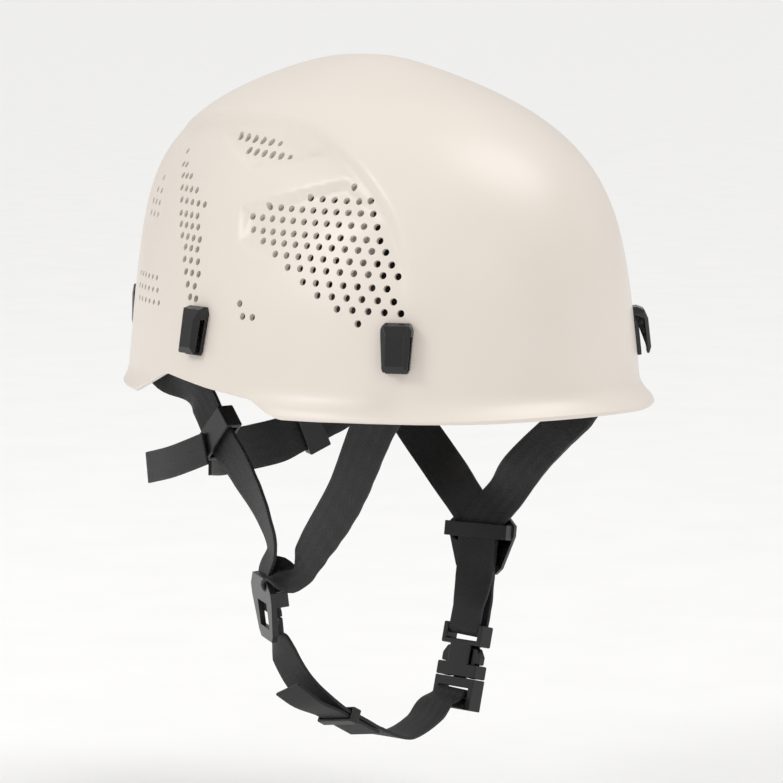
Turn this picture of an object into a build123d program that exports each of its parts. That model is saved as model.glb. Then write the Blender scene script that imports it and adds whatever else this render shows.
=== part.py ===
from build123d import *
import os
from math import atan2, cos, radians, sin

# A climbing helmet with a hard outer shell, a webbing cradle and a two-sided chin harness.
# Millimetres. +Z is up and the front faces -Y. The origin is the centre of the head opening.

# ---- Shell ----
SHELL_HEIGHT = 148.8
SHELL_HALF_WIDTH = 106.0
SHELL_FRONT_LENGTH = 147.7
SHELL_REAR_LENGTH = 128.0
SHELL_WALL = 2.5
CROWN_FLAT = 0.993          # the highest section, as a share of the height
# Each way out from the centre: lean of the wall, power of the shoulder, power of the crown.
WALL_SHAPE = {"side": (-0.222, 5.91, 1.2), "front": (-0.059, 4.54, 1.257), "rear": (0.038, 5.22, 1.644)}
BRIM_FLARE = {"side": 3.0, "front": 9.0, "rear": 2.0}
FLARE_START = 5.0           # height at which the wall starts to turn out
FLARE_END = -5.0
# Evenly graded, because a smooth loft bulges between sections whose spacing jumps.
SECTION_SHARES = [-0.07, -0.045, -0.02, 0.005, 0.03, 0.06, 0.1, 0.155, 0.225, 0.31,
                  0.41, 0.52, 0.63, 0.73, 0.82, 0.89, 0.94, 0.975, CROWN_FLAT]
# The lower edge seen from the side, as lengths from the origin and heights.
FRONT_CORNER = 62.0
NOTCH_PEAK = 17.0
NAPE_CORNER = 45.0
RIM_FRONT = -3.5
RIM_LOW = -8.0
RIM_STEP = -0.3
RIM_PEAK = 5.8
RIM_NAPE = -4.5

# ---- Lamp clips and the anchors behind them ----
CLIP_PLACES = {"front_right": (228.4, 24.0), "side_right": (182.3, 25.6), "rear_right": (120.0, 26.6),
               "front_left": (311.6, 24.0), "side_left": (357.7, 25.6), "rear_left": (60.0, 26.6)}
CLIP_WIDTH = 14.0
CLIP_HEIGHT = 24.0
CLIP_BASE = 1.8
CLIP_SLOT = 2.5
CLIP_TONGUE = 2.2
STUD_RADIUS = 2.5
STUD_FIT = 0.1
ANCHOR_WIDTH = 22.0
ANCHOR_HEIGHT = 26.0
ANCHOR_THICK = 3.0
SCREW_RADIUS = 1.2
SCREW_HEAD_RADIUS = 3.0
SCREW_HEAD_THICK = 1.2

# ---- Webbing ----
WEB_WIDTH = 20.0
WEB_THICK = 1.5
LAYER_GAP = 0.3
SLOT_CLEARANCE = 0.4

# ---- Cradle ----
CROWN_DROP = 37.0           # from the shell's top to the cradle's top strap
CRADLE_CENTRE_Y = -4.0
CROWN_FLAT_HALF = 24.0
CROWN_GAP = 0.8             # between the straps where they cross
STRAP_FOOT = 2.0            # how far a cradle strap's end lies below its anchor's middle
KNEE_IN = 5.5               # how far a cradle strap stands in from the wall above its anchor
YOKE_TOP = 9.5              # how far a yoke strap's end lies below its anchor's middle
YOKE_STRAIGHT = 5.0         # how far it then runs straight down the anchor
CROWN_PAD_THICK = 5.0

# ---- Headband ----
HEAD_HALF_WIDTH = 79.0
HEAD_FRONT = 107.0
HEAD_REAR = 93.0
BAND_THICK = 1.8
BAND_LOW = 7.0
BAND_HIGH = 35.0
PAD_THICK = 6.0
PAD_MARGIN = 2.0
HANGER_WIDTH = 12.0
HANGER_THICK = 2.0

# ---- Harness hardware ----
DIVIDER_WIDTH = 36.0
DIVIDER_HEIGHT = 30.0
DIVIDER_FOOT = 25.0
DIVIDER_PLATE = 2.6
DIVIDER_BAR = 1.8
DIVIDER_BAR_HEIGHT = 7.0
DIVIDER_TURN = 21.0         # degrees that the plate's front edge turns outwards
DIVIDER_RIGHT = Vector(-64, -10, -102)
DIVIDER_LEFT = Vector(62, -3, -85)
KEEPER_WALL = 1.3
KEEPER_HEIGHT = 5.0
KEEPER_PLACE = -6.0         # where it rests along the straight stretch, from its middle
NAPE_WIDTH = 22.0
TAIL_WIDTH = 15.0
LOCK_WALL = 2.4
LOCK_HEIGHT = 12.0

# ---- Side-release buckle, in its own frame: X across, Y up the strap, Z inwards ----
BUCKLE_TOP = Vector(55, -5, -124)
BUCKLE_AXIS = Vector(0.25, 0.05, 0.967)
BUCKLE_ACROSS = Vector(0.07, -1, 0)
SOCKET_RAIL = 3.0
PLUG_RAIL = 3.0
RAIL_CLEARANCE = 0.5        # between the thicker rail and the webbing's edge
BUCKLE_WIDTH = WEB_WIDTH + 2 * (max(SOCKET_RAIL, PLUG_RAIL) + RAIL_CLEARANCE)
BUCKLE_THICK = 7.6
SOCKET_LENGTH = 25.5
SOCKET_BAR = 3.0
SOCKET_BAR_THICK = 3.0
SOCKET_SLOT = 4.6
SOCKET_NECK = 14.0
SOCKET_COLLAR = 6.5
CAVITY_HALF = 10.6
CAVITY_THICK = 4.6
PRONG_ARM = 3.0
PRONG_BULGE = 2.8
PRONG_PLAY = 0.3
TONGUE_WIDTH = 5.0
PLUG_GAP = 0.35
PLUG_BLOCK = 4.5
PLUG_LENGTH = 15.0
PLUG_BAR = 2.2
PLUG_BAR_THICK = 4.6


# ---- Shapes shared by the pieces ----
ON_END = (Align.CENTER, Align.CENTER, Align.MIN)


def half_axis(way, height, inset):
    """How far the shell's wall stands from the centre line at a height."""
    base = {"side": SHELL_HALF_WIDTH, "front": SHELL_FRONT_LENGTH, "rear": SHELL_REAR_LENGTH}[way]
    lean, shoulder, crown = WALL_SHAPE[way]
    share = height / (SHELL_HEIGHT - inset)
    wall = (base - inset) * (1 + lean * share) * (1 - abs(share) ** shoulder) ** (1 / crown)
    turn = min(max((FLARE_START - height) / (FLARE_START - FLARE_END), 0), 1)
    return wall + BRIM_FLARE[way] * turn ** 2


def shell_point(angle, height, inset=0.0):
    """A point on the shell's wall, by its angle round from the wearer's left."""
    way = "front" if sin(radians(angle)) < 0 else "rear"
    x = half_axis("side", height, inset) * cos(radians(angle))
    y = half_axis(way, height, inset) * sin(radians(angle))
    return Vector(x, y, height)


def wall_plane(angle, height):
    """A plane on the shell's wall: X along the wall, Y up it and Z outwards."""
    step = 0.5
    along = shell_point(angle + step, height) - shell_point(angle - step, height)
    upward = shell_point(angle, height + step) - shell_point(angle, height - step)
    return Plane(origin=shell_point(angle, height), x_dir=along, z_dir=along.cross(upward))


def half_oval(side, front, rear, height):
    """A flat oval whose front and rear halves differ in length."""
    steps = 8
    points = []
    for i in range(2 * steps):
        turn = radians(i * 180 / steps)
        length = front if sin(turn) < 0 else rear
        points.append((side * cos(turn), length * sin(turn), height))
    return Face(Wire([Edge.make_spline(points, periodic=True)]))


def dome(inset):
    """The shell's outside, or its inside when inset by the wall, as one solid."""
    sections = []
    for share in SECTION_SHARES:
        height = share * (SHELL_HEIGHT - inset)
        sizes = [half_axis(way, height, inset) for way in ("side", "front", "rear")]
        sections.append(half_oval(*sizes, height))
    return loft(sections)


def oval_ring(inset, thick, low, high):
    """A band that follows the head, inset from the headband's inner face."""
    outer = half_oval(*[size - inset for size in (HEAD_HALF_WIDTH, HEAD_FRONT, HEAD_REAR)], low)
    sizes = [size - inset - thick for size in (HEAD_HALF_WIDTH, HEAD_FRONT, HEAD_REAR)]
    inner = half_oval(*sizes, low)
    return extrude(outer, high - low, dir=(0, 0, 1)) - extrude(inner, high - low, dir=(0, 0, 1))


def ribbon(stations, width, thick, pieces):
    """Flat webbing through stations, each a point and the way across the strap there."""
    points = [Vector(*point) for point, across in stations]
    path = Edge.make_spline(points)
    lengths = [0.0]
    for a, b in zip(points, points[1:]):
        lengths.append(lengths[-1] + (b - a).length)
    sections = []
    for i in range(pieces + 1):
        share = i / pieces
        reach = share * lengths[-1]
        k = max(j for j in range(len(points) - 1) if lengths[j] <= reach + 1e-9)
        mix = (reach - lengths[k]) / (lengths[k + 1] - lengths[k])
        across = Vector(*stations[k][1]) * (1 - mix) + Vector(*stations[k + 1][1]) * mix
        tangent = path.tangent_at(share)
        across = (across - tangent * across.dot(tangent)).normalized()
        plane = Plane(origin=path.position_at(share), x_dir=across, z_dir=tangent)
        sections.append(plane * Rectangle(width, thick))
    return loft(sections, ruled=True)


def block(low, high):
    """A box between two corners."""
    size = [b - a for a, b in zip(low, high)]
    return Pos(*low) * Box(*size, align=(Align.MIN, Align.MIN, Align.MIN))


def prism(points, depth_low, depth_high):
    """A flat outline drawn in X and Y, given a depth in Z."""
    return Pos(0, 0, depth_low) * extrude(make_face(Polyline(*points, close=True)), depth_high - depth_low)


# ---- Shell ----
def below_rim():
    """Everything under the shell's lower edge, to be cut away."""
    far = 2 * (SHELL_FRONT_LENGTH + SHELL_REAR_LENGTH)
    edge = [(-far, RIM_FRONT), (-SHELL_FRONT_LENGTH, RIM_FRONT), (-SHELL_FRONT_LENGTH * 0.85, RIM_LOW + 2),
            (-FRONT_CORNER - 20, RIM_LOW), (-FRONT_CORNER, RIM_LOW), (-FRONT_CORNER + 17, RIM_STEP),
            (NOTCH_PEAK, RIM_PEAK), (NAPE_CORNER, RIM_NAPE), (far, RIM_NAPE), (far, -far), (-far, -far)]
    outline = make_face(Polyline(*[(0, y, z) for y, z in edge], close=True))
    return extrude(outline, far, dir=(1, 0, 0), both=True)


def shell(outside, cavity):
    body = outside - cavity - below_rim()
    for angle, height in CLIP_PLACES.values():
        hole = Cylinder(STUD_RADIUS + STUD_FIT, 4 * SHELL_WALL)
        body -= wall_plane(angle, height) * hole
    return body


# ---- Lamp clips, anchors and screws ----
def clip_hook():
    """A hook for a head lamp's strap, open at the bottom, before it is fitted to the wall."""
    top = CLIP_HEIGHT / 2
    slot_out = CLIP_BASE + CLIP_SLOT
    face = slot_out + CLIP_TONGUE
    side_view = [(-3, -top + 2), (-3, top), (2, top), (face - 1.4, top - 1.6), (face, top - 6),
                 (face, -top + 5), (face - 1.2, -top + 2.4), (slot_out, -top + 2.4), (slot_out, top - 6),
                 (CLIP_BASE, top - 6), (CLIP_BASE, -top + 2)]
    hook = extrude(make_face(Polyline(*[(0, y, z) for z, y in side_view], close=True)), CLIP_WIDTH,
                   dir=(1, 0, 0), both=True)
    half = CLIP_WIDTH / 2
    front = [(-half + 1.5, top), (half - 1.5, top), (half, top - 3), (half - 1.2, -top + 4),
             (half - 3, -top), (-half + 3, -top), (-half + 1.2, -top + 4), (-half, top - 3)]
    hook &= prism(front, -4, face + 1)
    plan = [(-half, -4), (half, -4), (half, slot_out), (half - 3, face), (-half + 3, face), (-half, slot_out)]
    hook &= extrude(make_face(Polyline(*[(x, 0, z) for x, z in plan], close=True)), CLIP_HEIGHT,
                    dir=(0, 1, 0), both=True)
    return hook


def lamp_clip(place, outside):
    plane = wall_plane(*place)
    depth = SHELL_WALL + ANCHOR_THICK * 0.6
    stud = Pos(0, 0, -depth) * Cylinder(STUD_RADIUS, depth + 1, align=ON_END)
    pilot = Pos(0, 0, -depth) * Cylinder(SCREW_RADIUS, depth - 1, align=ON_END)
    return (plane * clip_hook() - outside) + plane * stud - plane * pilot


def anchor(place, cavity):
    """The plate inside the shell that the cradle and the yoke straps are held by."""
    plane = wall_plane(*place)
    depth = SHELL_WALL + ANCHOR_THICK
    low = (-ANCHOR_WIDTH / 2, -ANCHOR_HEIGHT / 2, -depth)
    plate = plane * block(low, (ANCHOR_WIDTH / 2, ANCHOR_HEIGHT / 2, 0)) & cavity
    socket = Pos(0, 0, -SHELL_WALL) * Cylinder(STUD_RADIUS + STUD_FIT, 2 * ANCHOR_THICK * 0.6 + 2 * STUD_FIT)
    bore = Pos(0, 0, -depth) * Cylinder(SCREW_RADIUS + STUD_FIT, 2 * ANCHOR_THICK)
    return plate - plane * socket - plane * bore


def anchor_screws():
    screws = []
    for place in CLIP_PLACES.values():
        back = SHELL_WALL + ANCHOR_THICK
        head = Pos(0, 0, -back - SCREW_HEAD_THICK) * Cylinder(
            SCREW_HEAD_RADIUS, SCREW_HEAD_THICK, align=ON_END)
        shank = Pos(0, 0, -back) * Cylinder(SCREW_RADIUS, ANCHOR_THICK, align=ON_END)
        screws.append(wall_plane(*place) * (head + shank))
    return Compound(children=screws)


# ---- Cradle ----
def inside_point(name, height, layer=0.0):
    """A point on an anchor's inner face at a height, further in by a layer of webbing."""
    angle = CLIP_PLACES[name][0]
    plane = wall_plane(angle, CLIP_PLACES[name][1])
    depth = SHELL_WALL + ANCHOR_THICK + SCREW_HEAD_THICK + LAYER_GAP + WEB_THICK / 2 + layer
    rise = (height - plane.origin.Z) / plane.y_dir.Z
    return plane.origin + plane.y_dir * rise - plane.z_dir * depth


def cradle_strap(first, second, level):
    """A strap from one anchor over the crown to the opposite one."""
    top = SHELL_HEIGHT - CROWN_DROP - level * (WEB_THICK + CROWN_GAP)
    middle = Vector(0, CRADLE_CENTRE_Y, 0)
    ends = []
    feet = [inside_point(name, CLIP_PLACES[name][1] - STRAP_FOOT, LAYER_GAP) for name in (first, second)]
    way = (feet[1] - feet[0]).cross(Vector(0, 0, 1)).normalized()
    for name, foot in zip((first, second), feet):
        flat = Vector(foot.X, foot.Y, 0) - middle
        wall = wall_plane(*CLIP_PLACES[name]).x_dir
        wall = wall if wall.dot(way) > 0 else -wall
        knee = inside_point(name, CLIP_PLACES[name][1] + ANCHOR_HEIGHT / 2, KNEE_IN)
        rows = [(foot, wall), (knee, wall)]
        for share, height in ((0.9, 0.5), (0.79, 0.72), (0.58, 0.9)):
            rows.append((middle + flat * share + Vector(0, 0, top * height), way))
        rows.append((middle + flat.normalized() * CROWN_FLAT_HALF + Vector(0, 0, top), way))
        ends.append(rows)
    crown = [(middle + Vector(0, 0, top), way)]
    line = ends[0] + crown + ends[1][::-1]
    return ribbon([(tuple(point), tuple(side)) for point, side in line], WEB_WIDTH, WEB_THICK, 36)


def crown_pad():
    lowest = SHELL_HEIGHT - CROWN_DROP - 2 * (WEB_THICK + CROWN_GAP) - WEB_THICK / 2 - CROWN_GAP
    return Pos(0, CRADLE_CENTRE_Y, lowest - CROWN_PAD_THICK) * Cylinder(
        CROWN_FLAT_HALF, CROWN_PAD_THICK, align=ON_END)


# ---- Headband ----
def headband():
    return oval_ring(-BAND_THICK, BAND_THICK, BAND_LOW, BAND_HIGH)


def head_pad(box_low, box_high):
    ring = oval_ring(0, PAD_THICK, BAND_LOW + PAD_MARGIN, BAND_HIGH - PAD_MARGIN)
    return ring & block(box_low, box_high)


def headband_hangers():
    """Flat arms that hang the headband from the front and side anchors."""
    sizes = [size + BAND_THICK for size in (HEAD_HALF_WIDTH, HEAD_FRONT, HEAD_REAR)]
    filled = extrude(half_oval(*sizes, BAND_LOW - 5), BAND_HIGH - BAND_LOW + 10, dir=(0, 0, 1))
    arms = []
    for name in ("front_right", "side_right", "front_left", "side_left"):
        plane = wall_plane(*CLIP_PLACES[name])
        drop = (STRAP_FOOT + YOKE_TOP) / 2
        start = plane.origin - plane.y_dir * drop - plane.z_dir * (SHELL_WALL + ANCHOR_THICK)
        inward = Vector(-start.X, CRADLE_CENTRE_Y - start.Y, 0).normalized()
        frame = Plane(origin=start, x_dir=inward, z_dir=(0, 0, 1))
        low = (HANGER_WIDTH / 2, -HANGER_WIDTH / 2, -HANGER_THICK / 2)
        arm = frame * block(low, (60, HANGER_WIDTH / 2, HANGER_THICK / 2))
        foot = plane * Pos(0, -drop, -SHELL_WALL - ANCHOR_THICK) * block(
            (-HANGER_WIDTH / 2, -HANGER_THICK / 2, -HANGER_WIDTH), (HANGER_WIDTH / 2, HANGER_THICK / 2, 0))
        arms.append((arm + foot) - filled)
    return Compound(children=arms)


# ---- Harness ----
ALONG_Y = (0, -1, 0)
TURN_RIGHT = (-sin(radians(DIVIDER_TURN)), -cos(radians(DIVIDER_TURN)), 0)
TURN_LEFT = (sin(radians(DIVIDER_TURN)), -cos(radians(DIVIDER_TURN)), 0)


def buckle_plane():
    across = BUCKLE_ACROSS - BUCKLE_AXIS * BUCKLE_ACROSS.dot(BUCKLE_AXIS)
    return Plane(origin=BUCKLE_TOP, x_dir=across, z_dir=across.cross(BUCKLE_AXIS))


def divider_plane(centre, across, up):
    """A plane on a divider: X across it towards the front, Y up it."""
    side = Vector(*across)
    rise = Vector(*up)
    rise = rise - side * rise.dot(side)
    return Plane(origin=centre, x_dir=side, z_dir=side.cross(rise))


def strap_divider(plane, inward):
    """A shield-shaped plate outside the two straps, with side posts and an inner bar."""
    half = DIVIDER_WIDTH / 2
    top = DIVIDER_HEIGHT / 2
    stack = WEB_THICK + LAYER_GAP / 2 + SLOT_CLEARANCE
    foot = DIVIDER_FOOT / 2
    outline = [(-half + 6, top), (half - 6, top), (half, top - 6), (half, top - 11), (foot, -top + 3),
               (foot - 3, -top), (-foot + 3, -top), (-foot, -top + 3), (-half, top - 11), (-half, top - 6)]
    plate = prism(outline, -stack - DIVIDER_PLATE, -stack)
    plate -= block((-8, -top + 6, -20), (8, top - 12, 20))
    gap = WEB_WIDTH / 2 + 4.5
    low = top - 6 - DIVIDER_BAR_HEIGHT
    bar = block((-gap - 2.6, low, -stack), (gap + 2.6, top - 6, stack + DIVIDER_BAR))
    bar -= block((-gap, low - 1, -stack), (gap, top, stack))
    body = plate + bar
    return plane * (body if inward > 0 else mirror(body, Plane.XY))


def socket_half():
    """The buckle's socket: a strap bar, a neck with open sides, and a collar."""
    half = BUCKLE_WIDTH / 2
    depth = BUCKLE_THICK / 2
    slot_low = -SOCKET_BAR - SOCKET_SLOT
    collar_top = -SOCKET_LENGTH + SOCKET_COLLAR
    head = block((-half, slot_low - 2.5, -depth), (half, 0, depth))
    head -= block((-half + SOCKET_RAIL, -20, 1.5), (half - SOCKET_RAIL, 0, 20))
    head -= block((-half + SOCKET_RAIL, -20, -20), (half - SOCKET_RAIL, 0, -1.5))
    head += block((-half + SOCKET_RAIL, slot_low - 2.5, -depth), (half - SOCKET_RAIL, slot_low, depth))
    head -= block((-half + SOCKET_RAIL, slot_low, -20), (half - SOCKET_RAIL, -SOCKET_BAR, 20))
    neck = block((-SOCKET_NECK / 2, -SOCKET_LENGTH, -depth), (SOCKET_NECK / 2, slot_low, depth))
    collar = block((-half, -SOCKET_LENGTH, -depth), (half, collar_top, depth))
    cavity = block((-CAVITY_HALF, -SOCKET_LENGTH - 1, -CAVITY_THICK / 2),
                   (CAVITY_HALF, slot_low - 2.5, CAVITY_THICK / 2))
    return head + neck + collar - cavity


def prong(sign):
    """One sprung arm with the bulge that a finger presses."""
    top = -SOCKET_BAR - SOCKET_SLOT - 2.5 - PRONG_PLAY - 0.5
    collar_top = -SOCKET_LENGTH + SOCKET_COLLAR + PRONG_PLAY
    outer = CAVITY_HALF - PRONG_PLAY
    inner = outer - PRONG_ARM
    foot = -SOCKET_LENGTH - 0.2
    outline = [(inner, foot), (outer, foot), (outer, collar_top), (outer + PRONG_BULGE, collar_top),
               (outer + PRONG_BULGE, collar_top + 4), (outer, top), (inner, top)]
    depth = CAVITY_THICK / 2 - PRONG_PLAY
    arm = prism(outline, -depth, depth)
    return arm if sign > 0 else mirror(arm, Plane.YZ)


def plug_half():
    """The buckle's plug: a guide tongue, a cross block and a ladder for the chin strap."""
    half = BUCKLE_WIDTH / 2
    depth = BUCKLE_THICK / 2
    top = -SOCKET_LENGTH - PLUG_GAP
    end = top - PLUG_LENGTH
    guide_top = -SOCKET_BAR - SOCKET_SLOT - 2.5 - 2
    guide = block((-TONGUE_WIDTH / 2, top - 1, -CAVITY_THICK / 2 + PRONG_PLAY),
                  (TONGUE_WIDTH / 2, guide_top, CAVITY_THICK / 2 - PRONG_PLAY))
    frame = block((-half, end, -depth), (half, top, depth))
    frame -= block((-half + PLUG_RAIL, end - 1, -20), (half - PLUG_RAIL, top - PLUG_BLOCK, 20))
    bars = []
    for low in (end, (end + top - PLUG_BLOCK) / 2):
        bars.append(block((-half + PLUG_RAIL, low, -PLUG_BAR_THICK / 2),
                          (half - PLUG_RAIL, low + PLUG_BAR, PLUG_BAR_THICK / 2)))
    return guide + frame + bars[0] + bars[1]


def placed(plane, rows, across=None):
    """Stations given in a plane's own X, Y and Z."""
    way = tuple(across or plane.x_dir)
    return [(tuple(plane.from_local_coords(Vector(*row))), way) for row in rows]


def yoke_start(name, towards):
    """A yoke strap's straight end on its anchor, with the way across it nearest to a given way."""
    wall = wall_plane(*CLIP_PLACES[name]).x_dir
    wall = wall if wall.dot(Vector(*towards)) > 0 else -wall
    heights = [CLIP_PLACES[name][1] - YOKE_TOP - reach for reach in (0, YOKE_STRAIGHT)]
    return [(tuple(inside_point(name, height)), tuple(wall)) for height in heights]


def yoke_leaving(name, point):
    """A yoke strap's end, laid over the cradle strap's foot and turned towards the next point."""
    height = CLIP_PLACES[name][1] - YOKE_TOP
    start = inside_point(name, height, WEB_THICK + 3 * LAYER_GAP)
    across = wall_plane(*CLIP_PLACES[name]).z_dir.cross(Vector(*point) - start)
    across = across if across.Y < 0 else -across
    return [(tuple(start), tuple(across.normalized()))]


def through_divider(plane, lean, layer):
    """Where a strap passes under the divider's bar and leaves below the plate."""
    bar = DIVIDER_HEIGHT / 2 - 6 - DIVIDER_BAR_HEIGHT / 2
    rows = [(lean, bar + 9, layer), (0, bar, layer), (0, bar - 4.5, layer), (0, bar - 9, layer)]
    return placed(plane, rows)


def crossing_divider(plane, side, layer):
    """Where a strap slants in from one side, turns flat under the bar and runs on past the plate."""
    bar = DIVIDER_HEIGHT / 2 - 6 - DIVIDER_BAR_HEIGHT / 2
    rows = [((12.6 * side, bar + 17, 2 * layer), (0.75, -0.66 * side)),
            ((4.8 * side, bar + 8.5, layer), (0.93, -0.36 * side)),
            ((0, bar, layer), (1, 0)), ((0, bar - 9, layer), (1, 0)),
            ((0, -DIVIDER_HEIGHT / 2 - 2, layer), (1, 0))]
    return [(tuple(plane.from_local_coords(Vector(*spot))), tuple(plane.x_dir * a + plane.y_dir * b))
            for spot, (a, b) in rows]


def into_socket(layer):
    """Where a strap meets the socket's bar and ends flat on one face of it."""
    out = SOCKET_BAR_THICK / 2 + LAYER_GAP + WEB_THICK / 2
    rows = [(0, 8, out), (0, 0, out), (0, -SOCKET_BAR, out)]
    return placed(buckle_plane(), [(x, y, z * layer) for x, y, z in rows])


def into_plug():
    """Where the chin strap crosses the plug's bars and ends in its upper slot."""
    slot = -SOCKET_LENGTH - PLUG_GAP - PLUG_BLOCK - 1.5
    out = PLUG_BAR_THICK / 2 + LAYER_GAP + WEB_THICK / 2
    rows = [(0, slot - 7, out + 8), (0, slot - 3.5, out + 2.2), (0, slot - 1, out + 0.7)]
    return placed(buckle_plane(), rows)


right_plane = divider_plane(DIVIDER_RIGHT, TURN_RIGHT, (-0.1, 0.08, 1))
left_plane = divider_plane(DIVIDER_LEFT, TURN_LEFT, (0.19, -0.03, 1))
LAYER = (WEB_THICK + LAYER_GAP) / 2
YOKE_FRONT_RIGHT = yoke_start("front_right", (0.63, -0.78, 0)) + [
    ((-66, -92, -8), (0.5, -0.86, 0)), ((-67, -70, -44), (0.2, -0.98, 0)),
    ((-66, -48, -67), ALONG_Y), ((-65, -29, -84), (-0.2, -0.98, 0))]
YOKE_REAR_RIGHT = yoke_leaving("rear_right", (-64, 76, 0)) + [
    ((-64, 76, 0), ALONG_Y), ((-62, 51, -11), ALONG_Y), ((-62, 36, -27), ALONG_Y),
    ((-62, 17, -43), (-0.1, -0.99, 0)), ((-63, -1, -60), (-0.3, -0.95, 0)),
    ((-64, -10, -76), (-0.45, -0.89, 0))]
YOKE_FRONT_LEFT = yoke_start("front_left", (-0.63, -0.78, 0)) + [
    ((63, -84, -13), (-0.3, -0.95, 0)), ((63, -57, -29), ALONG_Y), ((63, -34, -47), (0.2, -0.98, 0))]
YOKE_REAR_LEFT = yoke_leaving("rear_left", (66, 82, -10)) + [
    ((66, 82, -10), (0.6, -0.8, 0)), ((70, 60, -33), TURN_LEFT), ((69, 38, -49), TURN_LEFT)]
KEEPER_CENTRE = Vector(-34, -28.3, -155.3)
KEEPER_WAY = Vector(0.868, 0.004, -0.498)
KEEPER_ACROSS = Vector(0.1, -0.98, 0.17)
KEEPER_STRAIGHT = [(tuple(KEEPER_CENTRE + KEEPER_WAY * reach), tuple(KEEPER_ACROSS))
                   for reach in (-12, -4, 4, 12)]
TAIL_FREE_END = [((-66, -24, -138), (-0.05, -0.9, 0.4)),
                 ((-57, -27.5, -145.5), (0.05, -0.95, 0.25))]
CHIN_UPPER = [((-61, -15.3, -124.3), (0, -0.98, 0.15)), ((-54, -20.5, -139), (0.1, -0.97, 0.2))]
CHIN_LOWER = [((-3, -23.5, -167.5), ALONG_Y), ((20, -15, -164), ALONG_Y)]
LOCK_CENTRE = Vector(31, 92, -35.5)
LOCK_WAY = Vector(-0.89, 0.2, -0.41)
LOCK_ACROSS = (-0.4, 0, 0.92)
NAPE_ACROSS = (0, 0, 1)
LOCK_STRAIGHT = [(tuple(LOCK_CENTRE + LOCK_WAY * reach), LOCK_ACROSS) for reach in (-16, -6, 6, 16)]
NAPE_LINE = [((52, 77, -13), LOCK_ACROSS)] + LOCK_STRAIGHT + [
    ((-4, 92, -44), NAPE_ACROSS), ((-30, 78, -43), NAPE_ACROSS), ((-47, 62, -40), NAPE_ACROSS),
    ((-56, 51.5, -38), NAPE_ACROSS)]
NAPE_TAIL_LINE = [
    ((-67.8, 38, -34), NAPE_ACROSS), ((-67.6, 53, -39), NAPE_ACROSS),
    ((-66, 70, -44), NAPE_ACROSS), ((-61, 97, -50), NAPE_ACROSS)]


def chin_strap():
    start = placed(right_plane, [(0, -4.2, -LAYER), (0, -14, -LAYER)])
    return ribbon(start + CHIN_UPPER + KEEPER_STRAIGHT + CHIN_LOWER + into_plug(), WEB_WIDTH, WEB_THICK, 44)


def chin_tail():
    """The free end, lying outside the chin strap and held by the keeper."""
    layer = KEEPER_WAY.cross(KEEPER_ACROSS).normalized() * (WEB_THICK + 2 * LAYER_GAP)
    held = [KEEPER_CENTRE + KEEPER_WAY * reach + layer for reach in (-12, -4, 4, 12)]
    line = TAIL_FREE_END + [(tuple(point), tuple(KEEPER_ACROSS)) for point in held]
    return ribbon(line, WEB_WIDTH, WEB_THICK, 14)


def chin_keeper():
    stack = 2 * WEB_THICK + 2 * LAYER_GAP
    plane = Plane(origin=KEEPER_CENTRE + KEEPER_WAY * KEEPER_PLACE, x_dir=KEEPER_ACROSS, z_dir=KEEPER_WAY)
    centre = plane * Pos(0, (WEB_THICK + 2 * LAYER_GAP) / 2, 0)
    half_x = WEB_WIDTH / 2 + SLOT_CLEARANCE
    half_y = stack / 2 + SLOT_CLEARANCE
    loop = Box(2 * (half_x + KEEPER_WALL), 2 * (half_y + KEEPER_WALL), KEEPER_HEIGHT)
    return centre * (loop - Box(2 * half_x, 2 * half_y, KEEPER_HEIGHT + 1))


def nape_lock():
    plane = Plane(origin=LOCK_CENTRE, x_dir=LOCK_ACROSS, z_dir=LOCK_WAY)
    half_x = NAPE_WIDTH / 2 + SLOT_CLEARANCE
    half_y = WEB_THICK / 2 + SLOT_CLEARANCE
    loop = Box(2 * (half_x + LOCK_WALL), 2 * (half_y + LOCK_WALL), LOCK_HEIGHT)
    return plane * (loop - Box(2 * half_x, 2 * half_y, LOCK_HEIGHT + 1))


def rear_adjuster():
    """A flat loop on the right rear strap, where the nape band is held."""
    plane = Plane(origin=(-62, 36, -27), x_dir=(0, -0.72, 0.69), z_dir=(0, -0.69, -0.72))
    half_x = WEB_WIDTH / 2 + 3 * SLOT_CLEARANCE
    half_y = WEB_THICK / 2 + 3 * SLOT_CLEARANCE
    loop = Box(2 * (half_x + LOCK_WALL), 2 * (half_y + LOCK_WALL), LOCK_HEIGHT)
    return plane * (loop - Box(2 * half_x, 2 * half_y, LOCK_HEIGHT + 1))


def buckle_pieces():
    frame = buckle_plane()
    made = {"buckle_socket": socket_half(), "buckle_plug": plug_half()}
    for name, sign in (("buckle_prong_front", 1), ("buckle_prong_rear", -1)):
        made[name] = prong(sign)
    return {name: frame * piece for name, piece in made.items()}


os.makedirs("parts", exist_ok=True)

outside = dome(0)
cavity = dome(SHELL_WALL)
pieces = {"shell": shell(outside, cavity)}
anchors = {name: anchor(place, cavity) for name, place in CLIP_PLACES.items()}
for name, place in CLIP_PLACES.items():
    pieces["lamp_clip_" + name] = lamp_clip(place, outside)
    pieces["strap_anchor_" + name] = anchors[name]
pieces["anchor_screws"] = anchor_screws()
pieces["cradle_strap_front_right"] = cradle_strap("front_right", "rear_left", 0)
pieces["cradle_strap_front_left"] = cradle_strap("front_left", "rear_right", 1)
pieces["cradle_strap_side"] = cradle_strap("side_right", "side_left", 2)
pieces["crown_pad"] = crown_pad()
pieces["headband"] = headband()
pieces["brow_pad"] = head_pad((-60, -200, 0), (60, -40, 60))
pieces["temple_pad_right"] = head_pad((-200, -35, 0), (0, 30, 60))
pieces["temple_pad_left"] = head_pad((0, -35, 0), (200, 30, 60))
pieces["nape_pad"] = head_pad((-40, 40, 0), (40, 200, 60))
pieces["headband_hangers"] = headband_hangers()
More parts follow.
